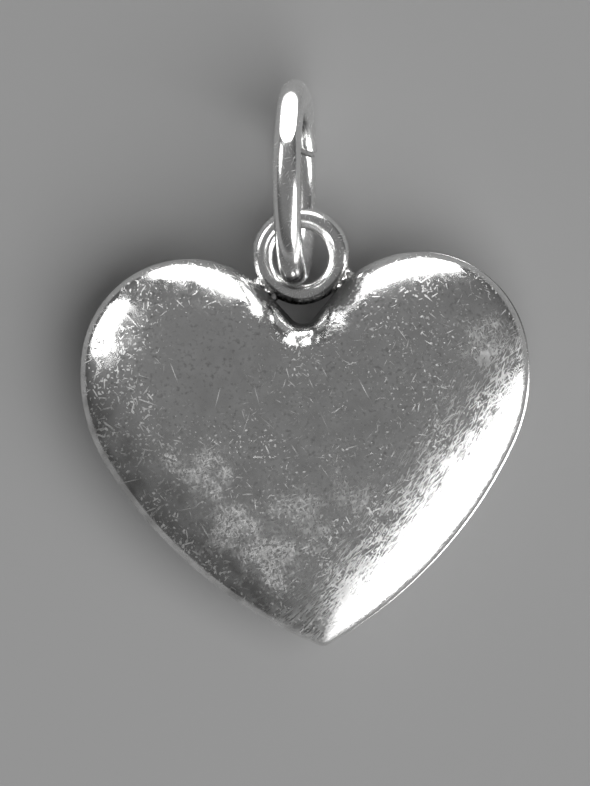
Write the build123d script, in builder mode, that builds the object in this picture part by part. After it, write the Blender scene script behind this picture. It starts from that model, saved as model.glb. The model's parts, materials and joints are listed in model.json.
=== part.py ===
"""Hollow puffed heart charm with a soldered eyelet and an open jump ring, lying on its back. Millimetres."""

import os
from math import atan2, cos, degrees, radians, sin, sqrt, tan

from build123d import *

# Outline of the heart, seen from the front
LOBE_SPACING = 8.5  # between the centres of the two lobes
LOBE_RADIUS = 4.0
SIDE_RADIUS = 6.3  # flatter arc below each lobe
SIDE_START = 9.5  # degrees above the lobe centres, where the side arc begins
FLANK_RADIUS = 16.8  # long arc from the side down to the point
TIP_DROP = 10.5  # from the lobe centres down to the point
TIP_SHIFT = 0.4  # the point sits a little to the right of the middle
TIP_FILLET = 0.3
TIP_SPREAD = 4.0  # growth of that radius towards the crown
CLEFT_ANGLE = 40.5  # degrees between the middle line and each side of the cleft
CLEFT_FILLET = 0.55
CLEFT_SPREAD = 3.6  # growth of that radius towards the crown
CLEFT_ROUND_SHARE = 0.7  # most of a cleft side that the rounding may take

# The two stamped shells
SHELL_DEPTH = 2.45  # seam to crown, outside
SHEET = 0.4
FLANGE_WIDTH = 0.2
FLANGE_THICKNESS = 0.15
CROWN_DROP = 2.4  # from the lobe centres down to the crown
DOME_POWER = 2.4  # flatness of the crown
DOME_ROUNDNESS = 1.03  # steepness of the wall where it leaves the flange
DOME_SHRINKS = (1.0, 0.985, 0.95, 0.89, 0.8, 0.68, 0.54, 0.4, 0.27, 0.15)  # outlines that carry the dome
SEAM_THICKNESS = 0.1

# Eyelet and its solder
EYELET_HOLE = 2.0
EYELET_WIRE = 0.8
EYELET_SEAT_GAP = 0.02
SOLDER_RADIUS = 0.55

# Jump ring
RING_DIAMETER = 7.6
RING_WIRE = 1.0
RING_CUT = 0.12
RING_CUT_ANGLE = 22.0  # degrees from the lowest point, away from the heart
RING_PLAY = 0.12  # between the ring and the eyelet, on the heart's side
RING_LEAN = 5.2  # degrees, top to the left
RING_TURN = -1.75  # degrees about the eyelet's axis
RING_OFFSET = -0.1  # across the eyelet's hole
FLOOR_GAP = 0.02  # under the ring

# Outline points of the right half, measured from the crown
HALF_SPACING = LOBE_SPACING / 2
LOBE_CENTRE = Vector(HALF_SPACING, CROWN_DROP)
SIDE_STEP = SIDE_RADIUS - LOBE_RADIUS
SIDE_CENTRE = LOBE_CENTRE - Vector(cos(radians(SIDE_START)), sin(radians(SIDE_START))) * SIDE_STEP
HALF_WIDTH = SIDE_CENTRE.X + SIDE_RADIUS
CLEFT_TANGENT = LOBE_CENTRE + Vector(-cos(radians(CLEFT_ANGLE)), sin(radians(CLEFT_ANGLE))) * LOBE_RADIUS
CLEFT_SIDE = CLEFT_TANGENT.X / sin(radians(CLEFT_ANGLE))
CLEFT_POINT = Vector(0, CLEFT_TANGENT.Y - CLEFT_SIDE * cos(radians(CLEFT_ANGLE)))
CLEFT_FILLET_LIMIT = CLEFT_ROUND_SHARE * CLEFT_SIDE * tan(radians(CLEFT_ANGLE))


def flank_centre(tip):
    """Centre of the arc that leaves the side arc smoothly and ends in the point."""
    line = tip - SIDE_CENTRE
    reach = FLANK_RADIUS - SIDE_RADIUS
    along = (reach**2 - FLANK_RADIUS**2 + line.length**2) / (2 * line.length)
    across = sqrt(reach**2 - along**2)
    direction = line.normalized()
    return SIDE_CENTRE + direction * along + Vector(direction.Y, -direction.X) * across


def half_outline(tip):
    """Cleft side, lobe, side and flank of the right half, from the cleft down to the point."""
    centre = flank_centre(tip)
    flank_start = degrees(atan2(SIDE_CENTRE.Y - centre.Y, SIDE_CENTRE.X - centre.X))
    flank_end = degrees(atan2(tip.Y - centre.Y, tip.X - centre.X))
    with BuildLine() as half:
        Line(CLEFT_POINT, CLEFT_TANGENT)
        CenterArc(LOBE_CENTRE, LOBE_RADIUS, SIDE_START, 180 - CLEFT_ANGLE - SIDE_START)
        CenterArc(SIDE_CENTRE, SIDE_RADIUS, flank_start, SIDE_START - flank_start)
        CenterArc(centre, FLANK_RADIUS, flank_end, flank_start - flank_end)
    return half.line


TIP_POINT = Vector(TIP_SHIFT, CROWN_DROP - TIP_DROP)
with BuildSketch() as sharp_outline:
    with BuildLine():
        add(half_outline(TIP_POINT))
        mirror(half_outline(Vector(-TIP_POINT.X, TIP_POINT.Y)), about=Plane.YZ)
    make_face()


def heart_outline(shrink):
    """Outline shrunk towards the crown, its cleft and point rounder the further it shrinks."""
    tip_round = TIP_FILLET + TIP_SPREAD * (1 - shrink)
    cleft_round = min(CLEFT_FILLET + CLEFT_SPREAD * (1 - shrink), CLEFT_FILLET_LIMIT)
    with BuildSketch() as heart:
        add(sharp_outline.sketch)
        scale(by=shrink)
        fillet(heart.vertices().sort_by_distance(TIP_POINT * shrink)[0], tip_round * shrink)
        fillet(heart.vertices().sort_by_distance(CLEFT_POINT * shrink)[0], cleft_round * shrink)
    return heart.sketch


full_outline = heart_outline(1)

# Eyelet seat: it drops into the cleft until it meets both sides, or both lobes above them
EYELET_RADIUS = EYELET_HOLE / 2 + EYELET_WIRE
EYELET_LINE_RADIUS = (EYELET_HOLE + EYELET_WIRE) / 2
SEAT_RADIUS = EYELET_RADIUS + EYELET_SEAT_GAP
if SEAT_RADIUS / tan(radians(CLEFT_ANGLE)) < CLEFT_SIDE:
    EYELET_RISE = CLEFT_POINT.Y + SEAT_RADIUS / sin(radians(CLEFT_ANGLE))
    SEAT_DIRECTION = Vector(cos(radians(CLEFT_ANGLE)), -sin(radians(CLEFT_ANGLE)))
else:
    EYELET_RISE = CROWN_DROP + sqrt((LOBE_RADIUS + SEAT_RADIUS) ** 2 - HALF_SPACING**2)
    SEAT_DIRECTION = (LOBE_CENTRE - Vector(0, EYELET_RISE)).normalized()

# Seam and ring heights, with the back of the heart and the ring's edge on the floor
SEAM_Z = SHELL_DEPTH + SEAM_THICKNESS / 2
SEAM_TOP = SEAM_Z + SEAM_THICKNESS / 2
SEAM_BOTTOM = SEAM_Z - SEAM_THICKNESS / 2
FLANGE_TOP = SEAM_TOP + FLANGE_THICKNESS
RING_LINE_RADIUS = (RING_DIAMETER - RING_WIRE) / 2
RING_CENTRE_Z = FLOOR_GAP + RING_LINE_RADIUS * cos(radians(RING_LEAN)) + RING_WIRE / 2
RING_RISE = RING_CENTRE_Z - SEAM_Z

# Ring reach: its heart-side wire passes through the hole, clear of the eyelet's wire
RING_TO_WIRE = RING_LINE_RADIUS + RING_WIRE / 2 + EYELET_WIRE / 2 + RING_PLAY
RING_REACH = sqrt(RING_TO_WIRE**2 - RING_RISE**2) - EYELET_LINE_RADIUS

# Places in the part's frame: origin on the floor, below the middle of the length
LENGTH_TOP = EYELET_RISE + RING_REACH * cos(radians(RING_TURN)) + RING_DIAMETER / 2
LENGTH_BOTTOM = full_outline.bounding_box().min.Y
CROWN_Y = -(LENGTH_TOP + LENGTH_BOTTOM) / 2
EYELET_CENTRE = Vector(0, CROWN_Y + EYELET_RISE, SEAM_Z)
WALL_SHRINK = 1 - FLANGE_WIDTH / HALF_WIDTH
VOID_SHRINK = WALL_SHRINK - SHEET / HALF_WIDTH


def crown_plane(height):
    """Level plane at a height, centred under the crown."""
    return Plane((0, CROWN_Y, height))


def dome_height(shrink, depth):
    """Height of an outline above the foot of its dome: steep at the wall, level at the crown."""
    rise = (1 - shrink**DOME_POWER) / (1 - DOME_SHRINKS[-1] ** DOME_POWER)
    return depth * rise ** (1 / DOME_ROUNDNESS)


# Front half, filled: flange, and the dome that stands on it
with BuildPart() as front_form:
    with BuildSketch(crown_plane(SEAM_TOP)):
        add(full_outline)
    extrude(amount=FLANGE_THICKNESS)
    for shrink in DOME_SHRINKS:
        with BuildSketch(crown_plane(FLANGE_TOP + dome_height(shrink, SHELL_DEPTH - FLANGE_THICKNESS))):
            add(heart_outline(WALL_SHRINK * shrink))
    loft()

# Front shell: the same form, hollowed to sheet thickness
with BuildPart() as front_shell:
    add(front_form.part)
    for shrink in DOME_SHRINKS:
        with BuildSketch(crown_plane(SEAM_TOP + dome_height(shrink, SHELL_DEPTH - SHEET))):
            add(heart_outline(VOID_SHRINK * shrink))
    loft(mode=Mode.SUBTRACT)

# Back shell: struck from the same die
with BuildPart() as back_shell:
    mirror(front_shell.part, about=Plane.XY.offset(SEAM_Z))

# Solder between the flanges, all the way round
with BuildPart() as seam_solder:
    with BuildSketch(crown_plane(SEAM_BOTTOM)):
        add(full_outline)
        add(heart_outline(VOID_SHRINK), mode=Mode.SUBTRACT)
    extrude(amount=SEAM_THICKNESS)

# Eyelet: a closed ring of round wire, level with the seam
with BuildPart() as eyelet_ring:
    with Locations(EYELET_CENTRE):
        Torus(EYELET_LINE_RADIUS, EYELET_WIRE / 2)

# Whole heart, filled, to shape the solder against
with BuildPart() as heart_form:
    add(front_form.part)
    mirror(front_form.part, about=Plane.XY.offset(SEAM_Z))
    with BuildSketch(crown_plane(SEAM_BOTTOM)):
        add(full_outline)
    extrude(amount=SEAM_THICKNESS)

# Solder that fills the corner where the eyelet meets each lobe, its poles inside those two
SOLDER_AXIS = Vector(-SEAT_DIRECTION.X, SEAT_DIRECTION.Y)
SOLDER_PLANE = Plane(EYELET_CENTRE + SOLDER_AXIS * EYELET_RADIUS, x_dir=(0, 0, 1), z_dir=SOLDER_AXIS)
with BuildPart() as eyelet_solder_left:
    with Locations(SOLDER_PLANE):
        Sphere(SOLDER_RADIUS)
    add(heart_form.part, mode=Mode.SUBTRACT)
    add(eyelet_ring.part, mode=Mode.SUBTRACT)
with BuildPart() as eyelet_solder_right:
    mirror(eyelet_solder_left.part, about=Plane.YZ)

# Jump ring: stands on edge through the eyelet, leaning a little, with its cut near the floor
RING_OUT = Vector(-sin(radians(RING_TURN)), cos(radians(RING_TURN)))
RING_SIDE = Vector(cos(radians(RING_TURN)), sin(radians(RING_TURN)))
RING_NORMAL = RING_SIDE * cos(radians(RING_LEAN)) + Vector(0, 0, sin(radians(RING_LEAN)))
RING_DOWN = RING_SIDE * sin(radians(RING_LEAN)) - Vector(0, 0, cos(radians(RING_LEAN)))
RING_CENTRE = (
    EYELET_CENTRE
    + RING_OUT * RING_REACH
    + RING_SIDE * (RING_OFFSET - RING_RISE * tan(radians(RING_LEAN)))
    + Vector(0, 0, RING_RISE)
)
CUT_DIRECTION = RING_DOWN * cos(radians(RING_CUT_ANGLE)) + RING_OUT * sin(radians(RING_CUT_ANGLE))
CUT_ARC = degrees(RING_CUT / RING_LINE_RADIUS)
with BuildPart(Plane(RING_CENTRE, x_dir=CUT_DIRECTION, z_dir=RING_NORMAL)) as jump_ring:
    Torus(
        RING_LINE_RADIUS,
        RING_WIRE / 2,
        major_angle=360 - CUT_ARC,
        rotation=(0, 0, CUT_ARC / 2),
        align=None,
    )

PIECES = {
    "front_shell": front_shell,
    "back_shell": back_shell,
    "seam_solder": seam_solder,
    "eyelet_ring": eyelet_ring,
    "eyelet_solder_left": eyelet_solder_left,
    "eyelet_solder_right": eyelet_solder_right,
    "jump_ring": jump_ring,
}
os.makedirs("parts", exist_ok=True)
for name, piece in PIECES.items():
    piece.part.label = name
    export_step(piece.part, f"parts/{name}.step")
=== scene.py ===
"""Polished silver puffed heart charm: two domed shells, seam, eyelet, solder and an open jump ring."""

import json
from functools import partialmethod, reduce
from typing import NamedTuple

import bpy
import numpy as np
from bpy.props import FloatProperty, FloatVectorProperty, PointerProperty
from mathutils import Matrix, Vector


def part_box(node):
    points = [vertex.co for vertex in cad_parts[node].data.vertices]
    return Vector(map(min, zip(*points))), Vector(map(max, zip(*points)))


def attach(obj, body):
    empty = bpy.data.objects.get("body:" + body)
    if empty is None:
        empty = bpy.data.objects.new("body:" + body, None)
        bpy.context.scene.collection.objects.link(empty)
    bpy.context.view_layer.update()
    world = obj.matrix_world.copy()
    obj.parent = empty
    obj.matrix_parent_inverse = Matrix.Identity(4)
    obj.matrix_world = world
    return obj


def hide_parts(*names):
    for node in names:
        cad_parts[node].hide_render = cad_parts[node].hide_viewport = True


bl_info = {
    "name": "Puffed Heart Charm",
    "version": (1, 0, 0),
    "blender": (4, 5, 0),
    "location": "View3D > Sidebar > Charm",
    "description": "Builds a silver puffed heart charm around its packed frame",
    "category": "Object",
}

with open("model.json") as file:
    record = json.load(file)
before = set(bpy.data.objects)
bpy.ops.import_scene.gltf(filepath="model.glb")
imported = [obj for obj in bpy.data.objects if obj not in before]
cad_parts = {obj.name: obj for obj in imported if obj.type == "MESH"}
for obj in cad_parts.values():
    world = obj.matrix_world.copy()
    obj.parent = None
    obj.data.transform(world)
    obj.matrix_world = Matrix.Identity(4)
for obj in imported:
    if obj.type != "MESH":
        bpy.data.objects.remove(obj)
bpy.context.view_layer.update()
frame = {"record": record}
MM = 0.001
TURN = 2 * np.pi
QUARTER = np.pi / 2

SHELL_LOW, SHELL_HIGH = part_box("front_shell")
SEAM_LOW, SEAM_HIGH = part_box("seam_solder")
EYELET_LOW, EYELET_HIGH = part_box("eyelet_ring")
EYELET_CENTRE = np.array((EYELET_LOW + EYELET_HIGH) / 2)
RING_CENTRE = np.array(frame["record"]["mounts"][0]["pos_m"])


# Sizes and colours that a user would change


def number(name, description, default, **kind):
    """A number property."""
    return FloatProperty(name=name, description=description, default=default, **kind)


def length(name, description, default):
    """A length property, its default in metres."""
    return number(name, description, default, unit="LENGTH", precision=5)


def angle(name, description, degrees):
    """An angle property, its default given in degrees."""
    return number(name, description, np.radians(degrees), unit="ROTATION")


def share(name, description, default):
    """A number between nought and one."""
    return number(name, description, default, min=0, max=1, subtype="FACTOR")


def colour(name, description, default):
    """A linear colour property."""
    return FloatVectorProperty(name=name, description=description, default=default, size=3, subtype="COLOR")


class CharmHeart(bpy.types.PropertyGroup):
    """Sizes of the heart's outline and of its two domed shells."""

    lobe_spacing: length("Lobe spacing", "Between the centres of the two lobes", 8.5 * MM)
    lobe_radius: length("Lobe radius", "Arc over the top of each lobe", 4.0 * MM)
    lobe_rise: length("Lobe rise", "From the crown up to the lobe centres", 2.4 * MM)
    side_radius: length("Side radius", "Flatter arc below each lobe", 6.3 * MM)
    side_start: angle("Side start", "Where the side arc begins, above the lobe centre", 9.5)
    flank_radius: length("Flank radius", "Long arc from the side down to the point", 16.8 * MM)
    tip_drop: length("Tip drop", "From the lobe centres down to the point", 10.5 * MM)
    tip_shift: length("Tip shift", "How far the point sits to the right", 0.4 * MM)
    tip_round: length("Tip rounding", "Radius of the point at the rim", 0.3 * MM)
    tip_spread: length("Tip spread", "Growth of that radius towards the crown", 4.0 * MM)
    cleft_angle: angle("Cleft angle", "Between the middle line and each side of the cleft", 40.5)
    cleft_round: length("Cleft rounding", "Radius of the cleft at the rim", 0.55 * MM)
    cleft_spread: length("Cleft spread", "Growth of that radius towards the crown", 3.6 * MM)
    cleft_share: share("Cleft share", "Most of a cleft side that the rounding may take", 0.7)
    depth: length("Depth", "Seam to crown of one shell", SHELL_HIGH.z - SHELL_LOW.z)
    sheet: length("Sheet", "Thickness of the silver sheet", 0.4 * MM)
    edge_height: length("Edge height", "Upright edge between the seam and the dome", 0.13 * MM)
    dome_power: number("Dome power", "Flatness of the crown", 2.4)
    dome_roundness: number("Dome roundness", "Steepness at the rim", 1.03)
    roll_drop: length("Roll drop", "How far the dome's edge rolls down to the rim", 0.22 * MM)
    roll_width: length("Roll width", "How far in from the rim that roll fades", 0.1 * MM)
    cleft_steepness: number("Cleft steepness", "Roundness added at the cleft", 0.9)
    cleft_spread_angle: angle("Cleft spread angle", "How far round that added roundness fades", 24)
    softness: share("Softness", "How far outlines blur along the rim towards the crown", 0.066)
    uneven_slope: share("Unevenness", "Slope of the waves left by hand polishing", 0.013)
    back_offset: length("Back offset", "How far the back's rim shows on the right", 0.06 * MM)
    # Burnt flux and painted shade: at the cleft, and round each solder joint where the eyelet meets the heart
    grime_angle: angle("Grime angle", "How far round from the cleft burnt flux lies", 17)
    stain_left: length("Left stain", "Reach of the flux stain round the left solder", 0.55 * MM)
    stain_right: length("Right stain", "Reach of the flux stain round the right solder", 1.0 * MM)


class CharmWire(bpy.types.PropertyGroup):
    """Sizes of the eyelet, the jump ring and the solder."""

    eyelet_wire: length("Eyelet wire", "Thickness of the eyelet's wire", EYELET_HIGH.z - EYELET_LOW.z)
    eyelet_width: length("Eyelet width", "Outer width of the eyelet", EYELET_HIGH.x - EYELET_LOW.x)
    # Painted shade with burnt flux on the eyelet's lower half, where it meets the cleft
    eyelet_grime: angle("Eyelet grime", "How far round from its middle dark film lies", 38)
    grime_shift: angle("Grime shift", "How far that film's middle lies to the left of the cleft", 16)
    ring_width: length("Ring width", "Outer width of the jump ring", 7.6 * MM)
    ring_wire: length("Ring wire", "Thickness of the jump ring's wire", 1.0 * MM)
    ring_lean: angle("Ring lean", "Lean of the jump ring's top to the left", 5.2)
    ring_turn: angle("Ring turn", "Turn of the jump ring about the eyelet", -1.75)
    ring_cut: length("Ring cut", "Width of the saw cut", 0.17 * MM)
    cut_angle: angle("Cut angle", "Place of the cut, from the lowest point away from the heart", 25)
    cut_slant: share("Cut slant", "Slope of the saw cut across the wire", 0.85)
    cut_step: length("Cut step", "How far the two ends miss each other", 0.1 * MM)
    cut_edge: length("Cut edge", "Rounding of the cut's edges", 0.05 * MM)
    flat_angle: angle("Flat angle", "Tilt of the worn flat on the ring, from straight up", 43)
    flat_depth: length("Flat depth", "Depth of the worn flat", 0.14 * MM)
    flat_span: angle("Flat span", "Half of the arc that pliers pulled straight", 14.5)
    flat_bend: length("Flat bend", "Softness of the bends at that arc's ends", 0.1 * MM)
    flat_edge: length("Flat edge", "Softness of the flat's edge", 0.02 * MM)
    solder_height: length("Solder height", "Half height of the solder beside the eyelet", 0.38 * MM)
    solder_bite: length("Solder bite", "How far the solder runs into eyelet and rim", 0.16 * MM)


class CharmFinish(bpy.types.PropertyGroup):
    """Colours and polish of the silver."""

    silver: colour("Silver", "Polished silver", (0.93, 0.93, 0.925))
    tarnish: colour("Tarnish", "Dark film left on the metal", (0.2, 0.195, 0.19))
    # Nearly black: burnt flux, together with painted shade in the crevices at the cleft, the solder joints
    # and the ring's cut
    flux: colour("Flux", "Burnt flux left in the crevices", (0.03, 0.03, 0.03))
    solder: colour("Solder", "Silver solder, slightly duller", (0.8, 0.795, 0.785))
    polish: share("Polish", "Roughness of the polished sheet", 0.09)
    wire_polish: share("Wire polish", "Roughness of the wire", 0.17)
    haze: share("Haze", "Roughness added where the polish is dull", 0.14)
    scratch: share("Scratches", "Roughness added in a scratch", 0.58)
    dulled: share("Dulled", "Roughness of metal under burnt flux", 0.5)
    filed: share("Filed edge", "Roughness of the filed rim", 0.26)
    scratch_depth: length("Scratch depth", "Depth of the fine scratches", 0.0011 * MM)


class CharmStage(bpy.types.PropertyGroup):
    """Floor, light and camera."""

    floor: colour("Floor", "Pale matt floor", (0.4, 0.4, 0.4))
    floor_radius: length("Floor radius", "Half width of the dish that the charm lies in", 0.55)
    floor_flat: length("Floor flat", "Half width of the dish's level middle", 0.06)
    floor_rise: length("Floor rise", "Height of the dish's edge", 0.02)
    ceiling: share("Ceiling", "Brightness overhead, which the face mirrors", 0.19)
    horizon: share("Horizon", "Brightness near the floor", 0.09)
    panel_light: number("Panel light", "Brightness of the light panels", 8.0)
    panel_distance: length("Panel distance", "From the charm to the light panels", 5.0)
    box_light: number("Soft box light", "Brightness of the floor's soft box", 2.35)
    box_size: length("Soft box size", "Width of the soft box", 3.6)
    box_distance: length("Soft box distance", "From the charm to the soft box", 3.0)
    box_height: angle("Soft box height", "Elevation of the soft box", 52)
    box_side: angle("Soft box side", "Direction of the soft box, clockwise from the picture's top", 134)
    view_height: length("View height", "Height of the picture at the seam", 29.08 * MM)
    view_distance: length("View distance", "From the seam up to the camera", 0.6)
    view_lean: angle("View lean", "How far the charm leans in the picture", 1.75)
    view_right: length("View right", "Picture's middle, right of the origin", -0.367 * MM)
    view_up: length("View up", "Picture's middle, from the origin towards the ring", -1.091 * MM)


# Number helpers


def circle(count):
    """Even angles of one full turn."""
    return np.linspace(0, TURN, count, endpoint=False)


def either_way(turns):
    """How far turns lie from nought, whichever way round is shorter."""
    return np.minimum(turns, TURN - turns)


def fade(value, start, end):
    """Nought at start, one at end, straight between them and level outside."""
    return np.clip((value - start) / (end - start), 0, 1)


def plateau(distance, reach):
    """One near nought and gone past the reach: the exponential of minus the fourth power of their ratio."""
    return np.exp(-((distance / reach) ** 4))


def smooth_excess(value, softness):
    """How far a value stands above nought, with a fillet of the given softness where it starts to."""
    return (value + np.sqrt(value**2 + softness**2)) / 2


def softened(reach, blur):
    """Rows of reaches, each blurred along the rim by a share of it: a Gaussian on their Fourier series."""
    count = reach.shape[1]
    waves_round = np.arange(count // 2 + 1)
    kept = np.exp(-2 * (np.pi * waves_round * blur[:, None]) ** 2)
    return np.fft.irfft(np.fft.rfft(reach, axis=1) * kept, n=count, axis=1)


def waves(x, y, seed, slope, lengths, count=28):
    """Sum of plane waves in random directions, each as steep as the next, so short waves are shallow."""
    draw = np.random.default_rng(seed)
    heading = draw.uniform(0, TURN, count)
    spacing = np.exp(draw.uniform(*np.log(lengths), count))
    start = draw.uniform(0, TURN, count)
    height = slope * np.sqrt(2 / count) * spacing / TURN
    along = x[..., None] * np.cos(heading) + y[..., None] * np.sin(heading)
    return (height * np.sin(along * TURN / spacing + start)).sum(axis=-1)


# Meshes from whole arrays


def grid_faces(rows, columns):
    """Quads of a grid whose columns close into a ring."""
    row = np.arange(rows - 1)[:, None] * columns
    here = np.arange(columns)[None, :]
    after = (here + 1) % columns
    corners = (row + here, row + after, row + columns + after, row + columns + here)
    return np.stack(corners, axis=-1).reshape(-1, 4)


def fan_faces(pole, ring):
    """Triangles from a pole to a ring of vertex numbers."""
    return np.stack([np.full(len(ring), pole), np.roll(ring, -1), ring], axis=-1)


def volume_of(points, triangles):
    """Signed volume inside triangles: a sixth of the sum of their triple products."""
    a, b, c = (points[triangles[:, i]] for i in range(3))
    return np.einsum("ij,ij->", a, np.cross(b, c)) / 6


def point_grid(x, y, z):
    """Grid of points from three arrays, broadcast to one shape."""
    return np.stack(np.broadcast_arrays(x, y, z), axis=-1)


def end_poles(grid):
    """Middles of a grid's first and last rows."""
    return grid[0].mean(axis=0), grid[-1].mean(axis=0)


def add_object(name, data):
    """Adds an object at the origin to the scene."""
    made = bpy.data.objects.new(name, data)
    bpy.context.scene.collection.objects.link(made)
    return made


def smooth_mesh(name, points, quads, fans):
    """Smooth mesh of quads and triangles."""
    mesh = bpy.data.meshes.new(name)
    mesh.from_pydata(points.tolist(), [], quads.tolist() + fans.tolist())
    mesh.shade_smooth()
    mesh.validate()
    return mesh


def closed_piece(name, grid, poles=None, attributes=None):
    """Closed mesh from a grid (rows, columns, xyz). Columns close into rings. The ends close in two poles,
    or, without poles, the last row joins the first."""
    rows, columns = grid.shape[:2]
    points = grid.reshape(-1, 3)
    if poles is None:
        quads = grid_faces(rows + 1, columns) % (rows * columns)
        fans = np.zeros((0, 3), int)
    else:
        points = np.concatenate([points, np.asarray(poles)])
        quads = grid_faces(rows, columns)
        ring = np.arange(columns)
        start = fan_faces(rows * columns, ring)
        end = fan_faces(rows * columns + 1, ring + (rows - 1) * columns)[:, ::-1]
        fans = np.concatenate([start, end])
    triangles = np.concatenate([quads[:, [0, 1, 2]], quads[:, [0, 2, 3]], fans])
    if volume_of(points - points.mean(axis=0), triangles) < 0:
        quads = quads[:, ::-1]
        fans = fans[:, ::-1]
    mesh = smooth_mesh(name, points, quads, fans)
    for key, values in (attributes or {}).items():
        kind, field = ("FLOAT_VECTOR", "vector") if np.ndim(values) == 3 else ("FLOAT", "value")
        depth = values.shape[2:]
        full = np.zeros((len(points), *depth), np.float32)
        full[: rows * columns] = np.broadcast_to(values, (rows, columns, *depth)).reshape(-1, *depth)
        mesh.attributes.new(key, kind, "POINT").data.foreach_set(field, full.ravel())
    return add_object(name, mesh)


def dress(piece, make_metal, body, node_name):
    """Gives a finished piece its metal, made once under its function's name, and its body, and hides the node
    that it stands for."""
    metal = bpy.data.materials.get(make_metal.__name__) or make_metal(bpy.context.scene.charm_finish)
    piece.data.materials.append(metal)
    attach(piece, body)
    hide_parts(node_name)


# Heart outline

# Keeps a ray beside the cleft from dividing by nought
LEAST_SLOPE = 1e-9


def turn_of(x, y):
    """Clockwise angle of a point from straight up, seen from the crown."""
    return np.arctan2(x, y) % TURN


def crossing(rays, centre, radius, side=1):
    """Distance along unit rays from the crown to a circle's far side or, with side -1, its near side."""
    along = rays[0] * centre[0] + rays[1] * centre[1]
    inside = along**2 - centre[0] ** 2 - centre[1] ** 2 + radius**2
    return along + side * np.sqrt(np.maximum(inside, 0))


class HeartOutline:
    """Heart's outline about its crown: cleft sides, lobe, side and flank arcs, rounded at cleft and point.
    The rim's lowest point lies on the front shell's box."""

    def __init__(self, sizes):
        self.sizes = sizes
        start = np.array([np.cos(sizes.side_start), np.sin(sizes.side_start)])
        self.cleft = np.array([np.sin(sizes.cleft_angle), np.cos(sizes.cleft_angle)])
        self.lobe = np.array([sizes.lobe_spacing / 2, sizes.lobe_rise])
        self.side = self.lobe - start * (sizes.side_radius - sizes.lobe_radius)
        self.lobe_end = self.lobe + start * sizes.lobe_radius
        self.half_width = self.side[0] + sizes.side_radius
        self.hollow = 1 - sizes.sheet / self.half_width
        self.cleft_end = self.lobe + sizes.lobe_radius * np.array([-self.cleft[1], self.cleft[0]])
        cleft_side = self.cleft_end[0] / self.cleft[0]
        self.cleft_low = self.cleft_end[1] - cleft_side * self.cleft[1]
        self.cleft_limit = sizes.cleft_share * cleft_side * np.tan(sizes.cleft_angle)
        self.tip = np.array([sizes.tip_shift, sizes.lobe_rise - sizes.tip_drop])
        self.left_tip = self.tip * [-1, 1]
        turns = self.turns(count=4000)
        self.crown_y = SHELL_LOW.y - (self.reach(turns, np.ones(1))[0] * np.cos(turns)).min()

    def flank(self, tip):
        """Centre of the arc that leaves the side arc smoothly and ends in the point."""
        line = tip - self.side
        span = np.hypot(*line)
        reach = self.sizes.flank_radius - self.sizes.side_radius
        along = (reach**2 - self.sizes.flank_radius**2 + span**2) / (2 * span)
        heading = line / span
        across = np.array([heading[1], -heading[0]])
        return self.side + heading * along + across * np.sqrt(reach**2 - along**2)

    def half_reach(self, turns, tip):
        """Sharp right half: the crossing of each ray with the line or arc that spans its turn."""
        rays = (np.sin(turns), np.cos(turns))
        flank = self.flank(tip)
        outward = self.side - flank
        side_end = flank + outward * self.sizes.flank_radius / np.hypot(*outward)
        slope = np.minimum(rays[0] * self.cleft[1] - rays[1] * self.cleft[0], -LEAST_SLOPE)
        reach = crossing(rays, flank, self.sizes.flank_radius)
        for end, spanning in (
            (side_end, crossing(rays, self.side, self.sizes.side_radius)),
            (self.lobe_end, crossing(rays, self.lobe, self.sizes.lobe_radius)),
            (self.cleft_end, -self.cleft_low * self.cleft[0] / slope),
        ):
            reach = np.where(turns < turn_of(*end), spanning, reach)
        return reach

    def rounded_tip(self, turns, rays, rounding):
        """Circle inside both flank arcs: its crossing with each ray, and the rays that it spans."""
        right = self.flank(self.tip)
        left = self.flank(self.left_tip) * [-1, 1]
        middle = (right + left) / 2
        gap = left - right
        down = np.array([gap[1], -gap[0]]) / np.hypot(*gap)
        drop = np.sqrt((self.sizes.flank_radius - rounding) ** 2 - gap @ gap / 4)
        centre = (middle[0] + down[0] * drop, middle[1] + down[1] * drop)
        stops = []
        for flank in (right, left):
            away = (centre[0] - flank[0], centre[1] - flank[1])
            grow = self.sizes.flank_radius / np.hypot(*away)
            stops.append(turn_of(flank[0] + away[0] * grow, flank[1] + away[1] * grow))
        return crossing(rays, centre, rounding), (turns > stops[0]) & (turns < stops[1])

    def rounded_cleft(self, turns, rays, rounding):
        """Circle that touches both cleft sides from above: its near crossing, and the rays that it spans."""
        centre = (0.0, self.cleft_low + rounding / self.cleft[0])
        touch = rounding * self.cleft[1] / self.cleft[0]
        stop = np.arctan2(touch * self.cleft[0], self.cleft_low + touch * self.cleft[1])
        return crossing(rays, centre, rounding, side=-1), either_way(turns) < stop

    def reach(self, turns, shrink):
        """Distances from the crown, one row for each shrink. Cleft and point get rounder as it shrinks."""
        sizes = self.sizes
        turns = turns[None, :]
        shrink = shrink[:, None]
        rays = (np.sin(turns), np.cos(turns))
        left = self.half_reach(TURN - turns, self.left_tip)
        reach = np.where(turns <= turn_of(*self.tip), self.half_reach(turns, self.tip), left)
        tip_round = sizes.tip_round + sizes.tip_spread * (1 - shrink)
        cleft_round = np.minimum(sizes.cleft_round + sizes.cleft_spread * (1 - shrink), self.cleft_limit)
        for arc, spanned in (
            self.rounded_tip(turns, rays, tip_round),
            self.rounded_cleft(turns, rays, cleft_round),
        ):
            reach = np.where(spanned, arc, reach)
        return reach * shrink

    def turns(self, count, fine=40000):
        """Turns of columns that lie evenly along the rim."""
        turns = np.linspace(0, TURN, fine)
        reach = self.reach(turns, np.ones(1))[0]
        steps = np.hypot(np.diff(reach * np.sin(turns)), np.diff(reach * np.cos(turns)))
        path = np.concatenate([[0], np.cumsum(steps)])
        return np.interp(np.linspace(0, path[-1], count, endpoint=False), path, turns)

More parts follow.
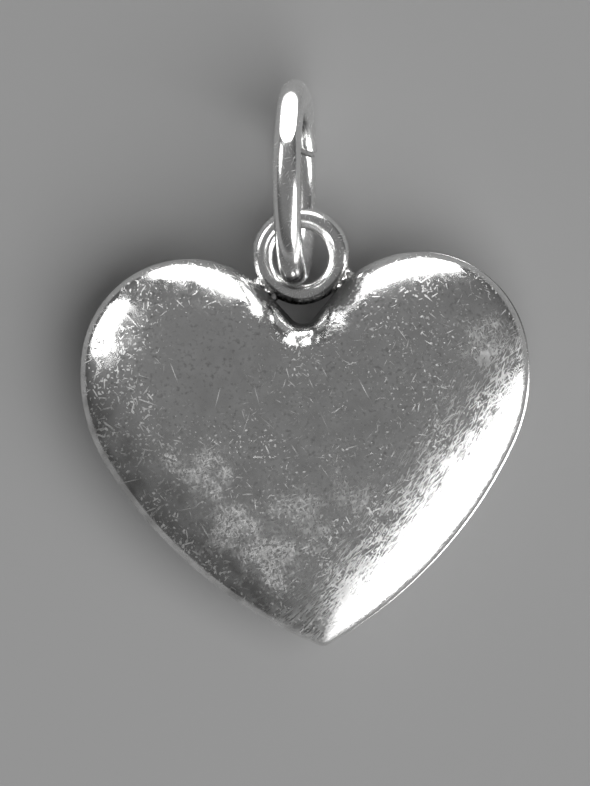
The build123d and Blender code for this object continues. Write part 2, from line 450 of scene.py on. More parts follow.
    def places(self, turns, distances):
        """Places in the frame of distances from the crown."""
        return distances * np.sin(turns), distances * np.cos(turns) + self.crown_y


# Shells and seam

RIM_COLUMNS = 720
# Some rows of the dome, crown to rim, and how far the outline is shrunk there
DOME_ROWS = (0, 60, 76, 101)
DOME_SHRINKS = (0.012, 0.88, 0.96, 1.0)
EDGE_ROWS = 2
HOLLOW_ROWS = 14
HOLLOW_CROWN = 0.02
# Shrinks between which dents, the filed rim and the wall's burnt flux and painted shade come in, and past
# which outlines are sharp
DENTS_FADE = (0.985, 0.935)
RIM_FADE = (0.98, 0.99)
WALL_FADE = (0.87, 0.95)
SHARP_FROM = 0.99
# Waves left by hand polishing: each shell's seed, then each set's step of seed, share of slope and lengths
FRONT_SEED = 3
BACK_SEED = 8
DENT_WAVES = (
    (0, 1.0, (1.2 * MM, 4.5 * MM)),
    (20, 0.5, (0.35 * MM, 1.0 * MM)),
)
SEAM_ROWS = 7
SEAM_SHRINK = 0.998
SEAM_BULGE = 0.006


def dome_rise(share_out, depth, power, roundness):
    """Height over the dome's foot of an outline shrunk to a share of it: level at the crown, steep at the
    foot and below nought past it."""
    fall = 1 - share_out**power
    return depth * np.sign(fall) * np.abs(fall) ** (1 / roundness)


def shell_rows(outline):
    """Shrinks of the rows in three runs: dome down to the rim, upright edge, and hollow."""
    dome = np.interp(np.arange(DOME_ROWS[-1] + 1), DOME_ROWS, DOME_SHRINKS)
    return dome, np.ones(EDGE_ROWS), np.linspace(1, HOLLOW_CROWN, HOLLOW_ROWS) * outline.hollow


def shell_heights(outline, turns):
    """Heights over the seam, row by row. The dome is steeper at the cleft, and its edge rolls down to the rim
    by an exponential of the distance to it."""
    sizes = outline.sizes
    dome, _, hollow = shell_rows(outline)
    at_cleft = np.exp(-((either_way(turns) / sizes.cleft_spread_angle) ** 2))
    roundness = sizes.dome_roundness + sizes.cleft_steepness * at_cleft
    depth = sizes.depth - sizes.edge_height - sizes.roll_drop
    rise = dome_rise(dome[:, None], depth, sizes.dome_power, roundness[None, :])
    roll = sizes.roll_drop * (1 - np.exp((dome - 1) * outline.half_width / sizes.roll_width))
    inside = dome_rise(hollow / hollow[0], sizes.depth - sizes.sheet, sizes.dome_power, sizes.dome_roundness)
    edge = np.linspace(sizes.edge_height / 2, 0, EDGE_ROWS)
    level = np.concatenate([edge, inside])[:, None]
    top = sizes.edge_height + rise + roll[:, None]
    return np.concatenate([top, np.broadcast_to(level, (len(level), len(turns)))])


def cleft_grime(sizes, turns):
    """Burnt flux and painted shade along the rim: full at the cleft and gone a little past the solder."""
    return plateau(either_way(turns), sizes.grime_angle)


def shell_piece(name, outline, wire, front):
    """Domed shell as a closed grid: the shell's profile carried round the heart's outline, with burnt flux
    and painted shade at the cleft and round both solder joints."""
    sizes = outline.sizes
    turns = outline.turns(RIM_COLUMNS)
    dome, edge, hollow = shell_rows(outline)
    shrink = np.concatenate([dome, edge, hollow])
    row = np.arange(len(shrink))
    domed = row < len(dome)
    outside = row < len(dome) + len(edge)
    blur = sizes.softness * np.clip(SHARP_FROM - shrink, 0, 1) * domed
    x, y = outline.places(turns, softened(outline.reach(turns, shrink), blur))
    seed = FRONT_SEED if front else BACK_SEED
    dents = 0
    for step, part, lengths in DENT_WAVES:
        dents = dents + waves(x, y, seed + step, sizes.uneven_slope * part, lengths)
    z = shell_heights(outline, turns) + dents * (fade(shrink, *DENTS_FADE) * domed)[:, None]
    rim = (fade(shrink, *RIM_FADE) * outside)[:, None]
    if not front:
        x = x + rim * sizes.back_offset * np.clip(np.sin(turns), 0, 1)
    z = SEAM_HIGH.z + z if front else SEAM_LOW.z - z
    poles = [(0, outline.crown_y, z[end].mean()) for end in (0, -1)]
    # Burnt flux and painted shade on the wall at the cleft
    flux_shade_mask = (fade(shrink, *WALL_FADE) * outside)[:, None] * cleft_grime(sizes, turns)
    # Burnt flux and painted shade round each solder joint, where the eyelet meets the heart
    for hand, joint_shade_reach in ((-1, sizes.stain_left), (1, sizes.stain_right)):
        joint = solder_joint(outline, wire, hand)[0]
        joint_shade = plateau(np.hypot(x - joint[0], y - joint[1]), joint_shade_reach)
        flux_shade_mask = np.maximum(flux_shade_mask, joint_shade * outside[:, None])
    return closed_piece(name, point_grid(x, y, z), poles, {"rim": rim, "flux_shade_mask": flux_shade_mask})


def seam_piece(outline):
    """Solder between the shells: a low half round carried round the rim, closed by a wall in the hollow."""
    turns = outline.turns(RIM_COLUMNS)
    half = (SEAM_HIGH.z - SEAM_LOW.z) / 2
    bend = np.linspace(-QUARTER, QUARTER, SEAM_ROWS)
    shrink = np.concatenate([SEAM_SHRINK - SEAM_BULGE * (1 - np.cos(bend)), [outline.hollow] * 2])
    rise = np.concatenate([half * np.sin(bend), [half, -half]])
    x, y = outline.places(turns, outline.reach(turns, shrink))
    z = (SEAM_LOW.z + half + rise)[:, None]
    # Burnt flux and painted shade where the seam runs through the cleft
    flux_shade_mask = cleft_grime(outline.sizes, turns)[None, :]
    return closed_piece("solder_seam", point_grid(x, y, z), attributes={"flux_shade_mask": flux_shade_mask})


# Eyelet and its solder

WIRE_SIDES = 56
EYELET_STEPS = 240
# Ripples of the eyelet's wire: share of its thickness, waves round the eyelet, and where they start
EYELET_RIPPLES = ((0.02, 3, 1), (0.012, 7, 0))
# Painted shade with burnt flux on the eyelet where it meets the cleft: its strength, and the cosines round
# the wire between which it comes in
EYELET_SHADE_STRENGTH = 0.7
EYELET_SHADE_FADE = (0.3, 0.8)
# Each side's solder: its hand, and how far it runs along the crevice from its middle, inwards and outwards
SOLDER_RUNS = {"left": (-1, 0.55 * MM, 0.6 * MM), "right": (1, 0.3 * MM, 0.85 * MM)}
WEB_STEPS = 42
WEB_SIDES = 48
# Lumps of the solder: share of its height, waves round it, radians along half of it, and radians for its hand
WEB_LUMPS = ((0.11, 3, 9, 1), (0.08, 5, -14, 0))


def drawn_places(thick, around, along):
    """Place of each vertex in the straight wire, before it was bent: two across the wire and one along it."""
    return point_grid(thick * np.cos(around), thick * np.sin(around), along)


def eyelet_piece(wire):
    """Closed ring of rippled wire: a circle carried round a circle, with painted shade and burnt flux on the
    outer side of its lower half, where it meets the cleft.
    """
    line = (wire.eyelet_width - wire.eyelet_wire) / 2
    along = np.linspace(QUARTER - TURN, QUARTER, EYELET_STEPS, endpoint=False)[:, None]
    around = circle(WIRE_SIDES)
    ripple = sum(part * np.sin(count * along + start) for part, count, start in EYELET_RIPPLES)
    thick = wire.eyelet_wire / 2 * (1 + ripple)
    out = line + thick * np.cos(around)
    grid = EYELET_CENTRE + point_grid(out * np.cos(along), out * np.sin(along), thick * np.sin(around))
    # Painted shade with burnt flux on the outer side of the eyelet's lower half, toward the cleft
    below = plateau(along + QUARTER + wire.grime_shift, wire.eyelet_grime)
    flux_shade_mask = EYELET_SHADE_STRENGTH * below * fade(np.cos(around), *EYELET_SHADE_FADE)
    drawn = drawn_places(thick, around, line * along)
    return closed_piece("wire_eyelet", grid, attributes={"drawn": drawn, "flux_shade_mask": flux_shade_mask})


def solder_joint(outline, wire, hand):
    """Where the eyelet touches the lobe on one hand, and the direction there from the eyelet to the lobe."""
    lobe = np.array([hand * outline.lobe[0], outline.lobe[1] + outline.crown_y, EYELET_CENTRE[2]])
    axis = (lobe - EYELET_CENTRE) / np.linalg.norm(lobe - EYELET_CENTRE)
    return EYELET_CENTRE + axis * wire.eyelet_width / 2, axis


def solder_piece(side, outline, wire):
    """Solder in the crevice between eyelet and lobe: each slice spans the gap between the two circles, which
    grows with the square of the distance from their contact, and the slices' heights follow an ellipse."""
    hand, inward, outward = SOLDER_RUNS[side]
    share_along = -np.cos(np.linspace(0, np.pi, WEB_STEPS))[1:-1, None]
    around = circle(WEB_SIDES)
    along = (outward - inward) / 2 + share_along * (outward + inward) / 2
    lump = 1
    for part, count, slope, shift in WEB_LUMPS:
        lump = lump + part * np.sin(count * around + slope * share_along + shift * hand)
    start = -(along**2) / wire.eyelet_width - wire.solder_bite
    end = along**2 / (2 * outline.sizes.lobe_radius) + wire.solder_bite
    across = (start + end) / 2 + (end - start) / 2 * np.cos(around)
    height = wire.solder_height * np.sqrt(1 - share_along**2) * lump * np.sin(around)
    contact, axis = solder_joint(outline, wire, hand)
    crevice = np.array([-axis[1], axis[0], 0]) * hand
    grid = contact + crevice * along[..., None] + axis * across[..., None]
    grid[..., 2] += height
    return closed_piece(f"solder_neck_{side}", grid, end_poles(grid))


# Jump ring

RING_STEPS = 400
EDGE_STEPS = 5
# Radians round the ring over which the slant of the cut, and the step between its ends, die away
SLANT_FADE = 0.12
STEP_FADE = 0.5
# Painted shade at the saw cut: how dark it is, and how far along the wire it reaches
CUT_SHADE = 0.6
CUT_SHADE_REACH = 0.14 * MM
# Least cosine between a spoke and the flat's direction, so that a chord lies on the flat's side alone
LEAST_COSINE = 0.5


def ring_directions(wire):
    """Unit vectors of the standing ring: its normal, down to its lowest point, and away from the heart."""
    out = np.array([-np.sin(wire.ring_turn), np.cos(wire.ring_turn), 0])
    side = np.array([np.cos(wire.ring_turn), np.sin(wire.ring_turn), 0])
    up = np.array([0, 0, 1])
    normal = side * np.cos(wire.ring_lean) + up * np.sin(wire.ring_lean)
    down = side * np.sin(wire.ring_lean) - up * np.cos(wire.ring_lean)
    return normal, down, out


def ring_rows(wire, line):
    """Turn from the cut and radius of the wire, row by row: a quarter round at each end, even between."""
    start = wire.ring_cut / 2 / line
    edge = wire.cut_edge / line
    bend = np.linspace(0, QUARTER, EDGE_STEPS, endpoint=False)
    end_turn = start + edge * (1 - np.cos(bend))
    end_thick = wire.ring_wire / 2 - wire.cut_edge * (1 - np.sin(bend))
    body_turn = np.linspace(start + edge, TURN - start - edge, RING_STEPS)
    body_thick = np.full(RING_STEPS, wire.ring_wire / 2)
    sweep = np.concatenate([end_turn, body_turn, TURN - end_turn[::-1]])
    thick = np.concatenate([end_thick, body_thick, end_thick[::-1]])
    return sweep[:, None], thick[:, None]


def ring_piece(wire):
    """Open ring: a circle carried round a circle from end to end. Near the cut the rows slant and the ends
    step apart. Under the worn flat the wire follows a chord, and what stands proud is pressed in."""
    normal, down, out = ring_directions(wire)
    cut = down * np.cos(wire.cut_angle) + out * np.sin(wire.cut_angle)
    flat = out * np.sin(wire.flat_angle) - down * np.cos(wire.flat_angle)
    line = (wire.ring_width - wire.ring_wire) / 2
    sweep, thick = ring_rows(wire, line)
    around = circle(WIRE_SIDES)
    radial = thick * np.cos(around)
    axial = thick * np.sin(around)
    from_end = either_way(sweep)
    hand = np.where(sweep < np.pi, 1, -1)
    turn = sweep - wire.cut_slant * axial / line * np.exp(-from_end / SLANT_FADE)
    step = hand * wire.cut_step / 2 * np.exp(-from_end / STEP_FADE)
    spoke = cut * np.cos(turn)[..., None] + np.cross(normal, cut) * np.sin(turn)[..., None]
    chord = line * np.cos(wire.flat_span)
    bent = line - smooth_excess(line - chord / np.maximum(spoke @ flat, LEAST_COSINE), wire.flat_bend)
    place = spoke * (bent + radial)[..., None] + normal * (axial + step)[..., None]
    proud = place @ flat - (chord + wire.ring_wire / 2 - wire.flat_depth)
    grid = RING_CENTRE + place - flat * smooth_excess(proud, wire.flat_edge)[..., None]
    drawn = drawn_places(thick, around, line * sweep)
    # Painted shade at the saw cut, darkest at the ends
    flux_shade_mask = CUT_SHADE * np.exp(-((from_end * line / CUT_SHADE_REACH) ** 2))
    return closed_piece("open_jump_ring", grid, end_poles(grid), {"drawn": drawn, "flux_shade_mask": flux_shade_mask})


# Shader nodes


class Grain(NamedTuple):
    """Noise in a finish: size of its grains in mm, where it is cut to nought and to one, and its detail."""

    size: float | tuple
    low: float
    high: float
    detail: float


class Spot(NamedTuple):
    """Spot on the face: its place and reach in mm, and how dull it is."""

    x: float
    y: float
    reach: float
    dulling: float


# Numbers of a Mix node's inputs, for the amount and the two values, and of its output
MIX_SOCKETS = {"FLOAT": ((0, 2, 3), 0), "RGBA": ((0, 6, 7), 2)}
# Strokes: how much smaller they are drawn at random, where their edge fades, and how unevenly they fade
STROKE_SHRINK = (0.7, 1.8)
STROKE_EDGE = (1.0, 0.1)
STROKE_FADING = 1.4
# Tilt of each further layer of lines, in radians about X and Y
LAYER_TILT = (0.3, 0.2)
# Spots, in shares of their reach: how ragged they are, where they end and where they are full
SPOT_RAGGED = 0.8
SPOT_END = 1.3
SPOT_FULL = 0.6
# Burnt flux and painted shade in crevices: gain of the mask, raggedness of its edge, the edge's grain, and
# how far it covers
FLUX_SHADE_GAIN = 1.7
FLUX_SHADE_RAGGED = 0.8
FLUX_SHADE_EDGE = Grain(0.14, 0.35, 0.7, 4)
FLUX_SHADE_COVER = 0.9


class Nodes:
    """A node tree, with short names for what is added. Inputs take a constant or another node's socket."""

    def __init__(self, tree):
        self.tree = tree

    def fill(self, node, values):
        """Gives a node's inputs, by name or number, their values, and returns its outputs."""
        for key, value in values.items():
            if isinstance(value, bpy.types.NodeSocket):
                self.tree.links.new(value, node.inputs[key])
            else:
                node.inputs[key].default_value = value
        return node.outputs

    def add(self, kind, settings=None, **inputs):
        """Adds a shader node."""
        made = self.tree.nodes.new(f"ShaderNode{kind}")
        for key, value in (settings or {}).items():
            setattr(made, key, value)
        self.fill(made, inputs)
        return made

    def math(self, operation, a, b, clamp=False):
        """Math on two numbers."""
        made = self.add("Math", {"operation": operation, "use_clamp": clamp})
        return self.fill(made, {0: a, 1: b})[0]

    times = partialmethod(math, "MULTIPLY")
    plus = partialmethod(math, "ADD")

    def most(self, *values):
        """Largest of several numbers."""
        return reduce(lambda a, b: self.math("MAXIMUM", a, b), values)

    def vectors(self, operation, a, b, output="Vector"):
        """Math on two vectors."""
        return self.fill(self.add("VectorMath", {"operation": operation}), {0: a, 1: b})[output]

    def mix(self, data_type, amount, first, second):
        """Mix of two numbers or two colours by an amount."""
        made = self.add("Mix", {"data_type": data_type})
        inputs, output = MIX_SOCKETS[data_type]
        return self.fill(made, dict(zip(inputs, (amount, first, second))))[output]

    def ramp(self, value, start, end, low=0.0, high=1.0):
        """Straight ramp of a number from start to end, level outside them."""
        limits = {"From Min": start, "From Max": end, "To Min": low, "To Max": high}
        return self.add("MapRange", Value=value, **limits).outputs[0]


class MetalNodes(Nodes):
    """Nodes of one metal, which read the place on the piece."""

    def __init__(self, name):
        self.material = bpy.data.materials.new(name)
        self.material.use_nodes = True
        super().__init__(self.material.node_tree)
        self.place = self.add("TexCoord").outputs["Object"]

    def attribute(self, name, output="Fac"):
        """The piece's own attribute."""
        return self.add("Attribute", {"attribute_name": name}).outputs[output]

    def along(self, heading):
        """How far the place lies along a heading on the face, in degrees anticlockwise from +X."""
        turn = np.radians(heading)
        return self.vectors("DOT_PRODUCT", self.place, (np.cos(turn), np.sin(turn), 0), "Value")

    def apart(self, x, y):
        """How far the place lies from a point of the face, given in mm and seen from the front."""
        flat = self.vectors("MULTIPLY", self.place, (1, 1, 0))
        return self.vectors("DISTANCE", flat, (x * MM, y * MM, 0), "Value")

    def patches(self, grain, place=None, heading=(0, 0, 0)):
        """Noise of a grain, by the place on the piece or another, turned by a heading."""
        size = tuple(np.broadcast_to(grain.size, 3) * MM)
        turned = {"Vector": place or self.place, "Rotation": heading, "Scale": size}
        spot = self.add("Mapping", {"vector_type": "TEXTURE"}, **turned)
        noise = self.add("TexNoise", Vector=spot.outputs[0], Scale=1.0, Detail=grain.detail)
        return self.ramp(noise.outputs[0], grain.low, grain.high)

    def lines(self, grain, headings):
        """Short fine lines: noise drawn out along several headings, the strongest taken at each place."""
        layers = []
        for layer, turn in enumerate(np.radians(headings)):
            turned = (LAYER_TILT[0] * layer, LAYER_TILT[1] * layer, turn)
            layers.append(self.patches(grain, heading=turned))
        return self.most(*layers)

    def strokes(self, spacing, span, width, kept):
        """Strokes of a span and width in mm, seen from above: a soft ellipse at each scattered point, turned,
        sized and faded at random, where only the kept share of the points shows."""
        scale = 1 / (spacing * MM)
        flat = self.vectors("MULTIPLY", self.place, (scale, scale, 0))
        cell = self.add("TexVoronoi", {"voronoi_dimensions": "2D"}, Vector=flat, Scale=1.0)
        draw = self.add("SeparateColor", Color=cell.outputs["Color"]).outputs
        offset = self.vectors("SUBTRACT", flat, cell.outputs["Position"])
        heading = self.times(draw["Red"], TURN)
        turned = self.add("VectorRotate", {"rotation_type": "Z_AXIS"}, Vector=offset, Angle=heading)
        ellipse = (2 * spacing / span, 2 * spacing / width, 0)
        sized = self.vectors("MULTIPLY", turned.outputs[0], ellipse)
        away = self.vectors("DISTANCE", sized, (0, 0, 0), "Value")
        away = self.times(away, self.ramp(draw["Blue"], 0, 1, *STROKE_SHRINK))
        chance = self.math("POWER", self.ramp(draw["Green"], 1 - kept, 1), STROKE_FADING)
        return self.times(self.ramp(away, *STROKE_EDGE), chance)

    def ragged_spot(self, spot, edge):
        """One near a spot's middle and nought past its reach, with an edge as ragged as a grain."""
        reach = spot.reach * MM
        apart = self.plus(self.apart(spot.x, spot.y), self.times(self.patches(edge), reach * SPOT_RAGGED))
        return self.ramp(apart, reach * SPOT_END, reach * SPOT_FULL)

    def flux(self):
        """Share of burnt flux and painted shade, from the piece's own attribute, with ragged edges."""
        amount = self.times(self.attribute("flux_shade_mask"), FLUX_SHADE_GAIN)
        return self.math("SUBTRACT", amount, self.times(self.patches(FLUX_SHADE_EDGE), FLUX_SHADE_RAGGED), clamp=True)

    def darkened(self, finish, clean, tone):
        """Colour of the metal under a tone of tarnish, which on the sheet also holds painted shade at the
        lower-left rim, and nearly black where burnt flux and painted shade lie.
        """
        filmed = self.mix("RGBA", tone, (*clean, 1), (*finish.tarnish, 1))
        return self.mix("RGBA", self.times(self.flux(), FLUX_SHADE_COVER), filmed, (*finish.flux, 1))

    def complete(self, tint, roughness, height, depth):
        """Joins a colour, a roughness and a bump of a depth in metres to the shader."""
        bump = self.add("Bump", {"invert": True}, Height=height, Distance=depth, Strength=1.0)
        values = {"Metallic": 1.0, "Base Color": tint, "Roughness": roughness, "Normal": bump.outputs[0]}
        self.fill(self.tree.nodes["Principled BSDF"], values)
        return self.material


# Polished sheet

# Headings on the face, in degrees anticlockwise from +X
UPWARD = 90
LOWER_LEFT = 219
LOWER_RIGHT = -39
# Each fade: where it starts and ends, along a heading or away from the lobe's spot, and the values there
LOBE_SPOT = (-3.7, 0.3)
LEFT_WEAR = (2.5 * MM, 6.0 * MM, 1.0, 2.1)
# Painted shade: a darker band along the lower-left rim, in place of the darker reflection there
LOWER_LEFT_SHADE = (5.9 * MM, 6.9 * MM, 0.0, 0.55)
FLANK_WEAR = (3.4 * MM, 6.4 * MM, 0.0, 1.0)
POINT_WEAR = (-1.0 * MM, -4.0 * MM, 1.0, 1.2)
LOBE_WEAR = (1.4 * MM, 3.4 * MM, 0.25, 1.5)
# Thin film and dark stains, and how strong each is, then the patches of the painted shade at the lower-left
# rim
HAZE = Grain(0.7, 0.35, 0.75, 4)
HAZE_FILM = 0.32
STAINS = Grain(0.15, 0.5, 0.75, 3)
STAIN_FILM = 0.5
LOWER_LEFT_SHADE_PATCHES = Grain(1.0, 0.3, 0.6, 4)
CROWDS = Grain(1.3, 0.3, 0.62, 3)
FLECKS = Grain(0.12, 0.58, 0.9, 3)
# Fine scratches: their drawn-out grain, their headings, and the strength of scratches and of haze under them
FLANK_FIBRES = Grain((0.45, 0.055, 0.45), 0.54, 0.9, 1)
FLANK_HEADINGS = (36, 56, 80)
FLANK_HAZE = (0.9, 0.1)
CLOUD_FIBRES = Grain((0.25, 0.06, 0.25), 0.47, 0.8, 1)
CLOUD_HEADINGS = (20, 80, 140)
CLOUD_HAZE = (0.95, 0.12)
CLOUD_EDGE = Grain(0.9, 0.3, 0.7, 4)
DULL_CLOUDS = (
    Spot(-3.8, -4.1, 1.4, 1.0),
    Spot(-2.9, -5.8, 1.7, 1.0),
    Spot(-1.4, -7.2, 1.7, 1.0),
    Spot(-0.3, -5.5, 1.8, 0.85),
    Spot(1.4, -4.7, 1.6, 0.65),
    Spot(6.8, 0.7, 1.5, 0.7),
)
# Spots rubbed grainy, and how much deeper their grain is than a scratch
GRAINY_SPOTS = (Spot(1.38, 1.48, 0.5, 0.4), Spot(-4.99, -3.39, 0.5, 1.5))
GRAINY_EDGE = Grain(0.3, 0.3, 0.7, 4)
RUBBED = Grain(0.1, 0.38, 0.62, 3)
RUBBED_DEPTH = 7.0


def scattered_marks(metal):
    """Nicks, short lines and flecks in crowds where the charm is handled most, and a few long hairs all over.
    Handling marked a spot of the left lobe little, and the point most."""
    handled = metal.times(
        metal.ramp(metal.apart(*LOBE_SPOT), *LOBE_WEAR),
        metal.ramp(metal.along(UPWARD), *POINT_WEAR),
    )
    crowd = metal.times(metal.patches(CROWDS), handled)
    nicks = metal.strokes(spacing=0.2, span=0.14, width=0.075, kept=0.8)
    short_lines = metal.strokes(spacing=0.34, span=0.5, width=0.055, kept=0.85)
    hairs = metal.strokes(spacing=1.0, span=1.0, width=0.05, kept=0.5)
    marks = metal.most(metal.patches(FLECKS), nicks, short_lines)
    return metal.most(metal.times(marks, crowd, clamp=True), hairs)


def fibrous(metal, zone, fibres, headings, haze):
    """Fine scratches over a thin haze, within a zone."""
    strength, base = haze
    scratched = metal.times(metal.lines(fibres, headings), strength)
    return metal.times(zone, metal.plus(scratched, base, clamp=True))


def rubbed_flank(metal):
    """Fine fibrous scratches that thicken towards the lower right flank."""
    zone = metal.ramp(metal.along(LOWER_RIGHT), *FLANK_WEAR)
    return fibrous(metal, zone, FLANK_FIBRES, FLANK_HEADINGS, FLANK_HAZE)


def dull_clouds(metal):
    """Dull clouds of fine scratches with ragged edges."""
    clouds = [metal.times(metal.ragged_spot(spot, CLOUD_EDGE), spot.dulling) for spot in DULL_CLOUDS]
    return fibrous(metal, metal.most(*clouds), CLOUD_FIBRES, CLOUD_HEADINGS, CLOUD_HAZE)


def polished_sheet(finish):
    """Polished silver sheet: nicks and scratches, a rubbed flank, dull clouds, grainy spots, thin film, and a
    dark cleft of burnt flux and painted shade. Wear is deepest towards the lower left, where painted shade
    darkens the rim."""
    metal = MetalNodes("polished_sheet")
    leftward = metal.along(LOWER_LEFT)
    marks = scattered_marks(metal)
    worn = metal.most(marks, rubbed_flank(metal), dull_clouds(metal))
    worn = metal.times(worn, metal.ramp(leftward, *LEFT_WEAR))
    rubbed = metal.patches(RUBBED)
    pits = []
    for spot in GRAINY_SPOTS:
        pits.append(metal.times(metal.ragged_spot(spot, GRAINY_EDGE), rubbed))
        worn = metal.most(worn, metal.times(pits[-1], spot.dulling))
    height = metal.plus(marks, metal.times(metal.most(*pits), RUBBED_DEPTH))
    haze = metal.patches(HAZE)
    rough = metal.plus(metal.times(haze, finish.haze), metal.times(worn, finish.scratch))
    rough = metal.plus(rough, finish.polish)
    rough = metal.mix("FLOAT", metal.attribute("rim"), rough, finish.filed)
    rough = metal.most(rough, metal.times(metal.flux(), finish.dulled))
    tone = metal.most(
        metal.times(haze, HAZE_FILM),
        metal.times(metal.patches(STAINS), STAIN_FILM),
        # Painted shade along the lower-left rim
        metal.times(metal.patches(LOWER_LEFT_SHADE_PATCHES), metal.ramp(leftward, *LOWER_LEFT_SHADE)),
    )
    return metal.complete(metal.darkened(finish, finish.silver, tone), rough, height, finish.scratch_depth)


# Drawn wire

# Streaks along the wire, dull patches on it and fine lines across it
STREAKS = Grain((0.09, 0.09, 2.2), 0.35, 0.75, 2)
DULL_PATCHES = Grain(0.5, 0.45, 0.75, 3)
WIRE_LINES = Grain((0.35, 0.025, 0.35), 0.72, 0.82, 1)
WIRE_HEADINGS = (10, 55, 100, 145)
# Shares of the sheet's haze and scratch depth that the wire has, and how strong its film is
WIRE_HAZE = 0.5
WIRE_DEPTH = 0.6
WIRE_FILM = 0.45


def drawn_wire(finish):
    """Drawn silver wire: streaks along it, small dull patches, few fine scratches, a thin dark film, burnt
    flux with painted shade on the eyelet by the cleft, and painted shade at the ring's cut.
    """
    metal = MetalNodes("drawn_wire")
    streaks = metal.patches(STREAKS, metal.attribute("drawn", "Vector"))
    dull = metal.patches(DULL_PATCHES)
    lines = metal.lines(WIRE_LINES, WIRE_HEADINGS)
    rough = metal.times(metal.plus(streaks, dull), finish.haze * WIRE_HAZE)
    rough = metal.plus(rough, metal.times(lines, finish.scratch))
    rough = metal.plus(rough, finish.wire_polish)
    tone = metal.times(metal.times(streaks, dull), WIRE_FILM)
    tint = metal.darkened(finish, finish.silver, tone)
    return metal.complete(tint, rough, metal.most(streaks, lines), finish.scratch_depth * WIRE_DEPTH)


# Flowed solder

LUMPS = Grain(0.16, 0.3, 0.7, 4)
PITS = Grain(0.22, 0.48, 0.66, 3)
# How many times rougher than the sheet the solder is, and how many times a scratch's depth its lumps are
SOLDER_DULLING = 2
SOLDER_DEPTH = 6


def flowed_solder(finish):
    """Silver solder: lumpy, duller than the sheet, with dark pits of flux, and burnt flux with painted shade
    where the seam runs through the cleft.
    """
    metal = MetalNodes("flowed_solder")
    lumps = metal.patches(LUMPS)
    rough = metal.plus(metal.times(lumps, finish.haze * SOLDER_DULLING), finish.polish * SOLDER_DULLING)
    tint = metal.darkened(finish, finish.solder, metal.patches(PITS))
    return metal.complete(tint, rough, lumps, finish.scratch_depth * SOLDER_DEPTH)


# Stage

# Light panels: name, middle azimuth clockwise from the picture's top, lowest and highest elevation, width
PANELS = (
    ("panel_lower_right", 121, 4, 27, 54),
    ("panel_left", -63, 22, 35.5, 28),
    ("panel_top", 0, 3, 28, 50),
)
FLOOR_RINGS = 24
FLOOR_SIDES = 96
FLOOR_GAP = 0.01 * MM
FLOOR_ROUGHNESS = 0.9
FLOOR_GLOSS = 0.1
# Sines of the elevations between which the ceiling brightens
CEILING_FADE = (0.25, 0.75)


def add_floor(stage):
    """Shallow dish: level in the middle, then rising with the square of the distance."""
    out = np.linspace(stage.floor_flat, stage.floor_radius, FLOOR_RINGS)[:, None]
    around = circle(FLOOR_SIDES)
    rise = fade(out, stage.floor_flat, stage.floor_radius) ** 2 * stage.floor_rise
    grid = point_grid(out * np.sin(around), out * np.cos(around), rise)
    points = np.concatenate([grid.reshape(-1, 3), np.zeros((1, 3))]) - [0, 0, FLOOR_GAP]
    middle = fan_faces(len(points) - 1, np.arange(FLOOR_SIDES))
    mesh = smooth_mesh("floor", points, grid_faces(FLOOR_RINGS, FLOOR_SIDES), middle)
    material = bpy.data.materials.new("matt_floor")
    material.use_nodes = True
    nodes = Nodes(material.node_tree)
    matt = {"Roughness": FLOOR_ROUGHNESS, "Specular IOR Level": FLOOR_GLOSS}
    nodes.fill(nodes.tree.nodes["Principled BSDF"], {"Base Color": (*stage.floor, 1), **matt})
    mesh.materials.append(material)
    floor = add_object("floor", mesh)
    return floor


def add_light(name, turn, rise, distance, width, height, brightness):
    """Rectangular light that faces the charm, from a turn clockwise from the picture's top and a rise over
    the floor. Its power grows with its area, so that its brightness stays."""
    level = np.cos(rise)
    away = Vector((np.sin(turn) * level, np.cos(turn) * level, np.sin(rise)))
    lamp = bpy.data.lights.new(name, "AREA")
    lamp.shape = "RECTANGLE"
    lamp.size = width
    lamp.size_y = height
    lamp.energy = brightness * np.pi * lamp.size * lamp.size_y
    light = add_object(name, lamp)
    light.location = away * distance
    light.rotation_euler = away.to_track_quat("Z", "Y").to_euler()
    return light


def add_panel(stage, spared, name, azimuth, low, high, width):
    """Light panel that the metal mirrors. It doesn't light the floor, as if screened from it."""
    turn = np.radians(azimuth) + stage.view_lean
    rise = np.radians((low + high) / 2)
    across = 2 * stage.panel_distance * np.tan(np.radians(width) / 2) * np.cos(rise)
    upright = 2 * stage.panel_distance * np.tan(np.radians(high - low) / 2)
    panel = add_light(name, turn, rise, stage.panel_distance, across, upright, stage.panel_light)
    panel.light_linking.receiver_collection = spared


def add_soft_box(stage):
    """Broad light that gives the floor its soft shadow. The metal doesn't mirror it."""
    size = stage.box_size
    box = add_light(
        "soft_box", stage.box_side, stage.box_height, stage.box_distance, size, size, stage.box_light
    )
    box.visible_glossy = False


def add_ceiling(stage):
    """World that brightens from the horizon to the ceiling by the height of each direction."""
    world = bpy.data.worlds.new("dim_ceiling")
    world.use_nodes = True
    nodes = Nodes(world.node_tree)
    toward = nodes.add("TexCoord").outputs["Generated"]
    rise = nodes.add("SeparateXYZ", Vector=toward).outputs["Z"]
    light = nodes.ramp(rise, *CEILING_FADE, stage.horizon, stage.ceiling)
    nodes.fill(nodes.tree.nodes["Background"], {"Color": light})
    bpy.context.scene.world = world


def add_camera(stage):
    """Camera straight above the charm, turned so that the charm leans in the picture."""
    lens = bpy.data.cameras.new("view_camera")
    lens.lens = lens.sensor_width * stage.view_distance / stage.view_height
    camera = add_object("view_camera", lens)
    camera.location = (stage.view_right, stage.view_up, SEAM_LOW.z + stage.view_distance)
    camera.rotation_euler = (0, 0, -stage.view_lean)
    bpy.context.scene.camera = camera


# Operators


